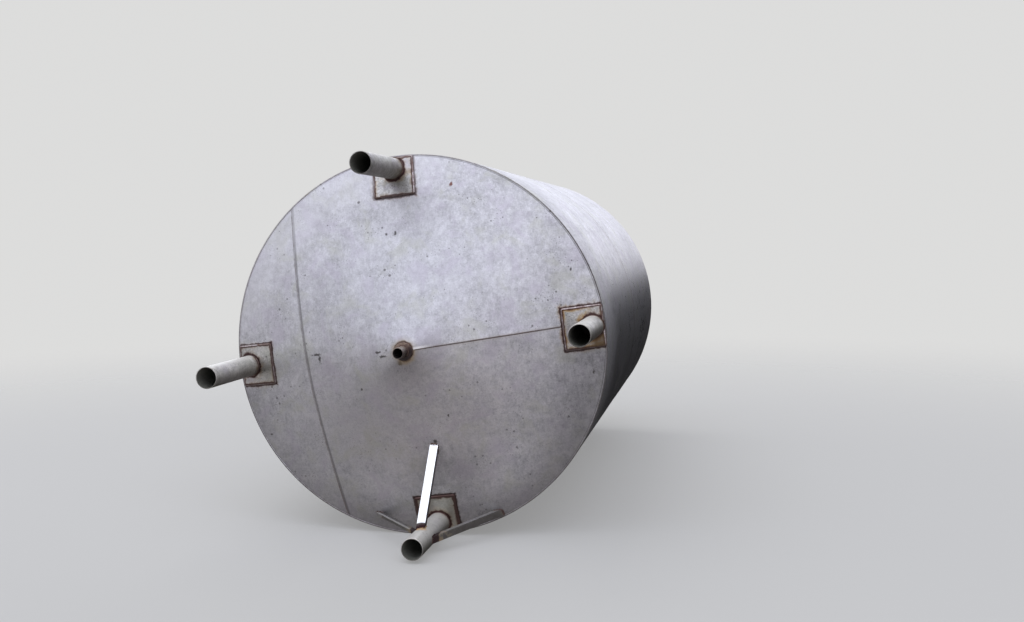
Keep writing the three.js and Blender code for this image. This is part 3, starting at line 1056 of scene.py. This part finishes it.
def brace_steel(side):
    """Angle iron with painted shade on all but the outer face of one flange, from some way out of its
    corner.
    """
    bare, contrast, metallic, burn, glow, lit_flange, lit_from = BRACE_STEELS[side]
    finish = Finish("brace_" + side, metallic)
    finish.mottle(bare, contrast)
    start, _, _, *flanges = brace_axes(side)
    square, along = flanges[1 - lit_flange], flanges[lit_flange]
    height, corner = (finish.toward(*axis) - float(start @ axis) for axis in (square, along))
    # Painted shade on every face but the outer face of one flange, beyond a set distance from the corner
    dirt_and_shade = height.ramp(0.0012, 0.0024).most(corner.fade(lit_from, lit_from + 0.004))
    uneven_shade = finish.noise(25.0, 4.0, 0.65, shift=(3, 3, 9)).ramp(0.30, 0.70, 0.88, 1.00)
    finish.paint(ANGLE_SHADE, dirt_and_shade * uneven_shade)
    from_leg = norm(finish.x, finish.y - LEG_CIRCLE) - LEG_RADIUS - 0.004
    from_cone = finish.radius * CONE_TAN + CONE_POINT - finish.z - 0.004
    finish.tint(from_leg, burn, 1.0, glow)
    finish.tint(from_cone, 0.6, 0.4, 0.3 * glow)
    finish.paint(shaded(MAROON, 0.5), from_leg.fade(0.024, 0.030, 0.95))
    finish.roughness = finish.roughness - 0.05
    return finish.done()


def weld_steel(kind):
    """Weld metal: light crowns between darker ripples, browned in places."""
    bright, dark, burn = WELD_STEELS[kind]
    finish = Finish("weld_" + kind)
    x, y = finish.x, finish.y
    patch = finish.noise(42.0, 4.0, 0.65).ramp(0.34, 0.66)
    finish.colour = mixed(finish.tree, bright, dark, patch)
    burnt = finish.noise(9.0, shift=(5, 1, 2)).ramp(0.40, 0.62)
    braced_side = y.ramp(0.6, 0.9, 0.0, burn * 1.3)
    finish.paint(BROWN, (burnt * burn).most(braced_side))
    finish.paint(BRACED_WELD, braced_side * 0.8)
    # Painted shade on the sides of the right and left pad welds that face +Y, and on the inner sides of
    # the front and left pad welds
    below = abs(x).ramp(0.6, 0.9) * y.ramp(0.116, 0.122)
    shaded_inner_sides = [axis.ramp(-0.957, -0.951) * axis.fade(-0.6, -0.5) for axis in (y, x)]
    finish.paint(WELD_SHADE, reduce(Field.most, [below, *shaded_inner_sides]) * burn)
    finish.roughness = patch.ramp(0.0, 1.0, 0.30, 0.46)
    finish.normal = finish.bump(finish.noise(400.0), 0.3, 0.0006)
    return finish.done()


# Stage

# Half width of the floors in m, the point from which they fade out, between which distances, and
# the height of the middle of the upright one
STAGE_HALF = 20.0
STAGE_MIDDLE = (0.0, 0.0, 1.5)
STAGE_FADE = (3.5, 14.0)
GROUND_HEIGHT = 2.0


def stage_material(name, reflected, glow):
    """Pale matt floor that is seen from one side only and fades out far from the tank."""
    material = bpy.data.materials.new(name)
    material.use_nodes = True
    tree = material.node_tree
    tree.nodes.clear()
    matt = {
        "Base Color": (reflected, reflected, reflected),
        "Roughness": 1.0,
        "Specular IOR Level": 0.0,
        "Emission Color": (1.0, 1.0, 0.99),
        "Emission Strength": glow,
    }
    pale = add_node(tree, "BsdfPrincipled", matt)
    clear = add_node(tree, "BsdfTransparent", {})
    geometry = add_node(tree, "NewGeometry", {})
    away = add_node(tree, "VectorMath", {0: geometry.outputs["Position"], 1: STAGE_MIDDLE})
    away.operation = "DISTANCE"
    fade = Field(tree, away.outputs["Value"]).ramp(*STAGE_FADE)
    hidden = Field(tree, geometry.outputs["Backfacing"]).most(fade)
    mix = add_node(tree, "MixShader", {0: hidden, 1: pale.outputs[0], 2: clear.outputs[0]})
    add_node(tree, "OutputMaterial", {"Surface": mix.outputs[0]})
    return material


def add_floor(name, centre, across, along, material):
    """A large flat stage floor that faces across x along."""
    across, along = (np.array(v, float) * STAGE_HALF for v in (across, along))
    count = 21
    steps = np.linspace(-1, 1, count)
    points = [centre + across * u + along * v for v in steps for u in steps]
    floor = add_mesh(name, points, grid_faces(count, count), material)
    floor.visible_shadow = False
    floor.visible_diffuse = False
    floor.visible_glossy = False


def stage():
    """A floor under the legs, and one on the side that the tank lay on."""
    floor = stage_material("stage_pale", 0.42, 0.42)
    add_floor("stage_floor", ORIGIN, (1, 0, 0), (0, 1, 0), floor)
    down = np.array([*CAMERA_DOWN[:2], 0.0])
    down /= np.linalg.norm(down)
    middle = down * SHELL_RADIUS + (0, 0, GROUND_HEIGHT)
    ground = stage_material("stage_pale_ground", 0.40, 0.22)
    add_floor("stage_ground", middle, (down[1], -down[0], 0), (0, 0, 1), ground)


# What the steel mirrors, as (height, brightness) pairs, with height along Y: the photograph's up
# is -Y. Rays towards the outlet end have their own brightness, which also grows towards +X.
SKY_LOW = (
    (-1.0, 2.2), (-0.72, 1.55), (-0.46, 0.88), (-0.30, 0.91), (-0.12, 0.78),
    (0.02, 0.50), (0.20, 0.48), (0.38, 0.345), (0.60, 0.25), (1.0, 0.22),
)
SKY_HIGH = ((-0.6, 1.45), (-0.2, 1.30), (-0.06, 0.90), (0.02, 0.46), (0.10, 0.18), (1.0, 0.12))
SKY_SKEW = 0.12

# Soft lights that stand round the tank: plan direction, half width as cosines, and brightness
SIDE_LIGHTS = (((-0.34, -0.94), (0.30, 0.92), 0.50), ((-0.77, 0.64), (0.60, 0.96), 0.50))
SIDE_GLOW = 0.33
TINT_ABOVE = (0.935, 0.965, 1.085)
TINT_BELOW = (1.055, 0.980, 0.985)
TINT_BESIDE = (1.0, 1.0, 0.985)
BACKDROP = (0.72, 0.72, 0.715)

# The lamp: place, what it is aimed at, width and height in m, and power in W
KEY_PLACE = (-2.5, -13.5, 7.0)
KEY_TARGET = (0.0, 0.0, 2.0)
KEY_SIZE = (9.0, 7.0)
KEY_POWER = 380.0


def world():
    """Plain pale backdrop for the camera, and for the steel the brightness that it mirrors."""
    made = bpy.data.worlds.new("studio")
    bpy.context.scene.world = made
    made.use_nodes = True
    tree = made.node_tree
    tree.nodes.clear()
    x, y, z = axes(tree, add_node(tree, "TexCoord", {}).outputs["Generated"])

    def graded(stops, along):
        (low, start), (high, end) = stops[:2]
        light = along.ramp(low, high, start, end)
        for (low, start), (high, end) in zip(stops[1:], stops[2:]):
            light = light + along.ramp(low, high, 0.0, end - start)
        return light

    lit = [
        (x * east + y * north).ramp(low, high, 0.0, strength)
        for (east, north), (low, high), strength in SIDE_LIGHTS
    ]
    side = (reduce(Field.__add__, lit) + SIDE_GLOW) * z.ramp(0.05, 0.35, 1.0, 0.35)
    towards_bottom, towards_top = z.fade(-0.42, -0.18), z.ramp(0.60, 0.85)
    east = x.ramp(-0.24, -0.08, 0.0, -0.14) + x.ramp(0.0, 0.24, 0.0, 0.34)
    low = graded(SKY_LOW, y - x * SKY_SKEW) * (east * y.fade(-0.20, -0.05) + 1.0)
    light = side + (low - side) * towards_bottom
    light = light + (graded(SKY_HIGH, y) - light) * towards_top
    corner = z.ramp(0.72, 0.90).most(z.ramp(-0.10, 0.15) * x.ramp(-0.05, 0.25)) * y.ramp(-0.07, 0.02)
    corner = corner * y.ramp(0.60, 0.85, 1.0, 0.3)
    corner = corner.most(z.fade(-0.30, -0.10, 0.50) * x.fade(-0.76, -0.42) * y.ramp(0.10, 0.35))
    light = light * (1.0 - corner)

    tint = mixed(tree, TINT_ABOVE, TINT_BELOW, y.ramp(-0.4, 0.5))
    tint = mixed(tree, tint, TINT_BESIDE, (1.0 - towards_bottom) * (1.0 - towards_top))
    mirrored = add_node(tree, "Background", {"Color": tint, "Strength": light})
    backdrop = add_node(tree, "Background", {"Color": BACKDROP})
    seen = add_node(tree, "LightPath", {}).outputs["Is Camera Ray"]
    mix = add_node(tree, "MixShader", {0: seen, 1: mirrored.outputs[0], 2: backdrop.outputs[0]})
    add_node(tree, "OutputWorld", {"Surface": mix.outputs[0]})


def lamp():
    light = bpy.data.lights.new("key", "AREA")
    light.shape = "RECTANGLE"
    light.size, light.size_y = KEY_SIZE
    light.energy = KEY_POWER
    key = add_object("key", light)
    key.visible_camera = False
    key.location = KEY_PLACE
    key.rotation_mode = "QUATERNION"
    key.rotation_quaternion = (Vector(KEY_TARGET) - Vector(KEY_PLACE)).to_track_quat("-Z", "Y")


def camera():
    data = bpy.data.cameras.new("camera")
    data.lens = CAMERA_LENS
    data.sensor_width = SENSOR_WIDTH
    data.sensor_fit = "HORIZONTAL"
    data.clip_end = 200.0
    seen_from = add_object("camera", data)
    right, up, back = Vector(CAMERA_RIGHT), -Vector(CAMERA_DOWN), -Vector(CAMERA_FORWARD)
    turn = Matrix((right, up, back)).transposed().to_4x4()
    seen_from.matrix_world = Matrix.Translation(CAMERA_PLACE) @ turn
    bpy.context.scene.camera = seen_from


def tank():
    welds = {kind: weld_steel(kind) for kind in WELD_STEELS}
    shell = shell_steel()
    for course, seam, base in (("lower", LOWER_SEAM, SHELL_BASE), ("upper", UPPER_SEAM, GIRTH)):
        shell_plate(f"shell_{course}_plate_1", seam, base, shell)
        shell_plate(f"shell_{course}_plate_2", seam + math.pi, base, shell)
    shell_welds(welds["plain"])

    bottom = cone_steel("bottom_steel", 1.0, BOTTOM_SEAMS, 1.0)
    roof = cone_steel("roof_steel", 0.65, ROOF_SEAMS, -1.0)
    cone_plates("bottom", BOTTOM_SEAMS, as_is, bottom)
    cone_plates("roof", ROOF_SEAMS, turned_over, roof)
    cone_welds("bottom", BOTTOM_SEAMS, as_is, welds["plain"], welds["brown"], PAD_INNER - 0.012)
    cone_welds("roof", ROOF_SEAMS, turned_over, welds["plain"], welds["brown"], SHELL_INNER - 0.005)
    drain = nozzle_steel("drain_steel", 1.0)
    outlet("drain_nozzle", "drain_collar", "drain", as_is, drain, welds["dark"])
    roof_nozzle = nozzle_steel("roof_nozzle_steel", -1.0)
    outlet("roof_nozzle", "roof_nozzle_collar", "roof", turned_over, roof_nozzle, welds["dark"])

    pads = pad_steel()
    pipes = pipe_steel()
    for side, azimuth in LEG_AZIMUTHS.items():
        pad(side, azimuth, pads, welds["burnt"])
        leg(side, azimuth, pipes, welds["dark"])
    for side in ("right", "left"):
        brace(side, brace_steel(side), welds["dark"], welds["brown"])
    brace("inner", brace_steel("inner"), welds["golden"], welds["dark"])


bpy.context.scene.view_settings.view_transform = "Standard"
camera()
world()
lamp()
stage()
tank()
